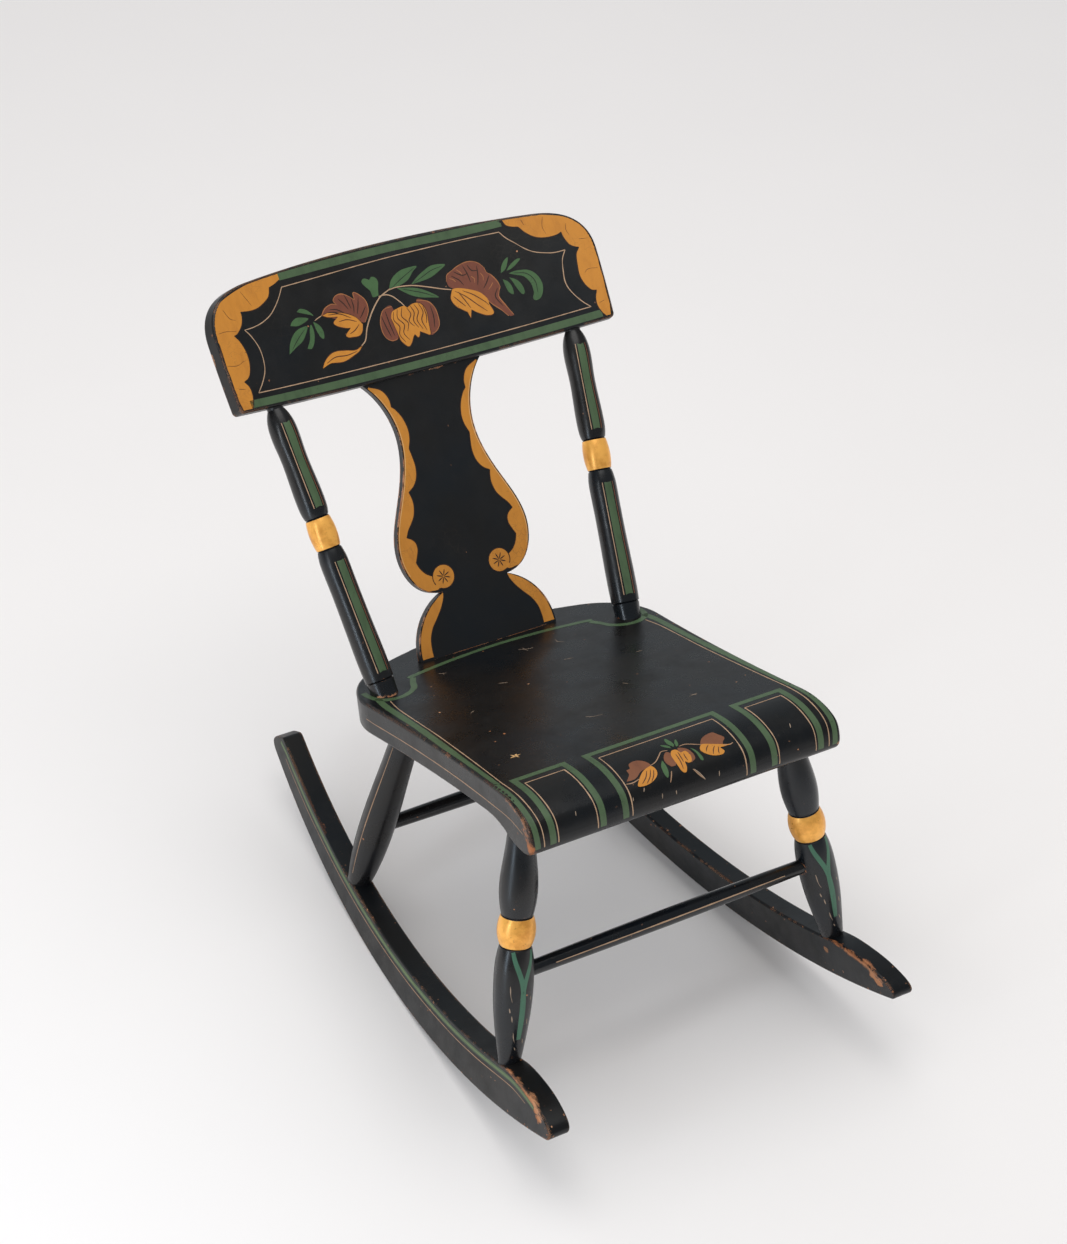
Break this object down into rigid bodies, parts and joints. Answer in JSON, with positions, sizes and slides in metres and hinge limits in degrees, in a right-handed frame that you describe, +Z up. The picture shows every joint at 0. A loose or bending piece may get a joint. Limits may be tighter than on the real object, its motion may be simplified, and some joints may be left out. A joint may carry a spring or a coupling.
{
  "type": "rocking chair",
  "caption": "Armless wooden rocking chair with plank seat, turned posts and legs, fiddle splat, hollowed crest rail and painted folk decoration on black.",
  "frame": {"origin": "on the floor, under the middle of the chair's bounding box", "axes": "+Z up, -Y towards the front, +X to the sitter's left; the chair stands on its rockers at the angle where it balances"},
  "size_m": [0.5462, 0.8978, 0.772],
  "materials": {
    "seat_plank": "satin black paint, worn",
    "crest_rail": "satin black paint, worn",
    "back_splat": "satin black paint, worn",
    "front_stretcher": "satin black paint, worn",
    "rear_stretcher": "satin black paint, worn",
    "left_front_leg": "satin black paint, worn",
    "right_front_leg": "satin black paint, worn",
    "left_rear_leg": "satin black paint, worn",
    "right_rear_leg": "satin black paint, worn",
    "left_rocker": "satin black paint, worn",
    "right_rocker": "satin black paint, worn",
    "left_back_post": "satin black paint, worn",
    "right_back_post": "satin black paint, worn",
    "crest_pegs": "bare wood",
    "post_wedges": "bare wood",
    "rocker_pegs": "bare wood"
  },
  "bodies": {
    "root": {"seat_plank": "seat_plank", "crest_rail": "crest_rail", "back_splat": "back_splat", "front_stretcher": "front_stretcher", "rear_stretcher": "rear_stretcher", "left_front_leg": "left_front_leg", "right_front_leg": "right_front_leg", "left_rear_leg": "left_rear_leg", "right_rear_leg": "right_rear_leg", "left_rocker": "left_rocker", "right_rocker": "right_rocker", "left_back_post": "left_back_post", "right_back_post": "right_back_post", "crest_pegs": "crest_pegs", "post_wedges": "post_wedges", "rocker_pegs": "rocker_pegs"}
  },
  "joints": []
}
